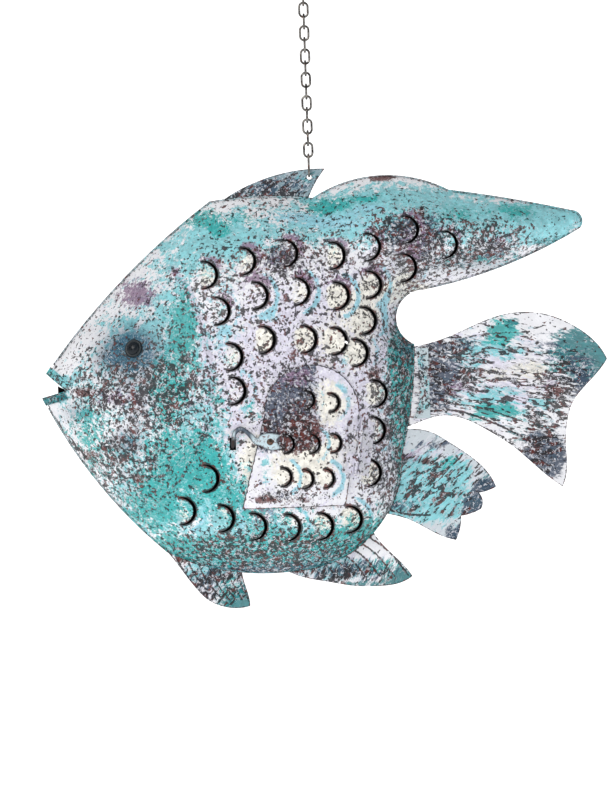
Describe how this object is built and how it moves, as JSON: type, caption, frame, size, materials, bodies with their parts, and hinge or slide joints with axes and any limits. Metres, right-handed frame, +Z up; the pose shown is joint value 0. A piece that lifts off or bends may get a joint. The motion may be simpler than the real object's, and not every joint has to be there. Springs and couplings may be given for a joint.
{
  "type": "hanging fish lantern",
  "caption": "Hanging metal fish lantern with punched scales, a hinged candle door with a hook latch, and a chain with a ring to hang it by.",
  "frame": {"origin": "where the hang ring bears on its hook: the inside top of the ring", "axes": "+Z up, +X from the fish's head towards its tail, +Y from the door side towards the plain side"},
  "size_m": [0.6053, 0.1622, 0.6822],
  "materials": {
    "painted_shell": "distressed antique paint, satin with crackle",
    "painted_fins": "brushed distressed paint",
    "painted_door": "distressed antique paint with rust",
    "painted_lips": "satin paint, worn edges",
    "eye_black": "semi-gloss black",
    "aged_latch": "aged dark paint over rust",
    "bare_iron": "bare iron, lightly rusted",
    "chain_steel": "dull zinc, darkened"
  },
  "bodies": {
    "hang_ring": {"hang_ring": "chain_steel"},
    "chain_link_14": {"chain_link_14": "chain_steel"},
    "chain_link_13": {"chain_link_13": "chain_steel"},
    "chain_link_12": {"chain_link_12": "chain_steel"},
    "chain_link_11": {"chain_link_11": "chain_steel"},
    "chain_link_10": {"chain_link_10": "chain_steel"},
    "chain_link_09": {"chain_link_09": "chain_steel"},
    "chain_link_08": {"chain_link_08": "chain_steel"},
    "chain_link_07": {"chain_link_07": "chain_steel"},
    "chain_link_06": {"chain_link_06": "chain_steel"},
    "chain_link_05": {"chain_link_05": "chain_steel"},
    "chain_link_04": {"chain_link_04": "chain_steel"},
    "chain_link_03": {"chain_link_03": "chain_steel"},
    "chain_link_02": {"chain_link_02": "chain_steel"},
    "chain_link_01": {"chain_link_01": "chain_steel"},
    "fin_link": {"fin_link": "chain_steel"},
    "fish": {"anal_fin": "painted_fins", "candle_cup": "bare_iron", "candle_post": "bare_iron", "candle_tray": "bare_iron", "dorsal_fin": "painted_fins", "front_pelvic_fin": "painted_fins", "hinge_leaf_fish": "painted_door", "hinge_pin": "bare_iron", "left_eye_ring": "eye_black", "left_eye_stud": "eye_black", "left_shell": "painted_shell", "left_tail_strip": "painted_shell", "lower_lip": "painted_lips", "rear_pelvic_fin": "painted_fins", "right_eye_ring": "eye_black", "right_eye_stud": "eye_black", "right_shell": "painted_shell", "right_tail_strip": "painted_shell", "seam_band": "painted_shell", "tail_fin": "painted_fins", "upper_lip": "painted_lips"},
    "door": {"door_panel": "painted_door", "hinge_leaf_door": "painted_door", "latch_rivet": "bare_iron"},
    "latch": {"latch_hook": "aged_latch"}
  },
  "joints": [
    {"name": "swing_chain_link_14", "type": "hinge", "parent": "hang_ring", "child": "chain_link_14", "pos_m": [0, 0, -0.0244], "axis": [1, 0, 0], "range_deg": [-12, 12]},
    {"name": "swing_chain_link_13", "type": "hinge", "parent": "chain_link_14", "child": "chain_link_13", "pos_m": [0, 0, -0.0365], "axis": [0, 1, 0], "range_deg": [-12, 12]},
    {"name": "swing_chain_link_12", "type": "hinge", "parent": "chain_link_13", "child": "chain_link_12", "pos_m": [0, 0, -0.049], "axis": [1, 0, 0], "range_deg": [-12, 12]},
    {"name": "swing_chain_link_11", "type": "hinge", "parent": "chain_link_12", "child": "chain_link_11", "pos_m": [0, 0, -0.0615], "axis": [0, 1, 0], "range_deg": [-12, 12]},
    {"name": "swing_chain_link_10", "type": "hinge", "parent": "chain_link_11", "child": "chain_link_10", "pos_m": [0, 0, -0.074], "axis": [1, 0, 0], "range_deg": [-12, 12]},
    {"name": "swing_chain_link_09", "type": "hinge", "parent": "chain_link_10", "child": "chain_link_09", "pos_m": [0, 0, -0.0865], "axis": [0, 1, 0], "range_deg": [-12, 12]},
    {"name": "swing_chain_link_08", "type": "hinge", "parent": "chain_link_09", "child": "chain_link_08", "pos_m": [0, 0, -0.099], "axis": [1, 0, 0], "range_deg": [-12, 12]},
    {"name": "swing_chain_link_07", "type": "hinge", "parent": "chain_link_08", "child": "chain_link_07", "pos_m": [0, 0, -0.1115], "axis": [0, 1, 0], "range_deg": [-12, 12]},
    {"name": "swing_chain_link_06", "type": "hinge", "parent": "chain_link_07", "child": "chain_link_06", "pos_m": [0, 0, -0.124], "axis": [1, 0, 0], "range_deg": [-12, 12]},
    {"name": "swing_chain_link_05", "type": "hinge", "parent": "chain_link_06", "child": "chain_link_05", "pos_m": [0, 0, -0.1365], "axis": [0, 1, 0], "range_deg": [-12, 12]},
    {"name": "swing_chain_link_04", "type": "hinge", "parent": "chain_link_05", "child": "chain_link_04", "pos_m": [0, 0, -0.149], "axis": [1, 0, 0], "range_deg": [-12, 12]},
    {"name": "swing_chain_link_03", "type": "hinge", "parent": "chain_link_04", "child": "chain_link_03", "pos_m": [0, 0, -0.1615], "axis": [0, 1, 0], "range_deg": [-12, 12]},
    {"name": "swing_chain_link_02", "type": "hinge", "parent": "chain_link_03", "child": "chain_link_02", "pos_m": [0, 0, -0.174], "axis": [1, 0, 0], "range_deg": [-12, 12]},
    {"name": "swing_chain_link_01", "type": "hinge", "parent": "chain_link_02", "child": "chain_link_01", "pos_m": [0, 0, -0.1865], "axis": [0, 1, 0], "range_deg": [-12, 12]},
    {"name": "swing_fin_link", "type": "hinge", "parent": "chain_link_01", "child": "fin_link", "pos_m": [0, 0, -0.199], "axis": [1, 0, 0], "range_deg": [-12, 12]},
    {"name": "fish_swing", "type": "hinge", "parent": "fin_link", "child": "fish", "pos_m": [0, 0, -0.2196], "axis": [0, 1, 0], "range_deg": [-25, 25]},
    {"name": "door_hinge", "type": "hinge", "parent": "fish", "child": "door", "pos_m": [0.038, -0.05597, -0.5395], "axis": [0.1727, 0.0279, 0.9846], "range_deg": [0, 110]},
    {"name": "latch_pivot", "type": "hinge", "parent": "door", "child": "latch", "pos_m": [-0.0509, -0.07897, -0.5017], "axis": [-0.0294, 0.9979, 0.0583], "range_deg": [0, 80]}
  ]
}
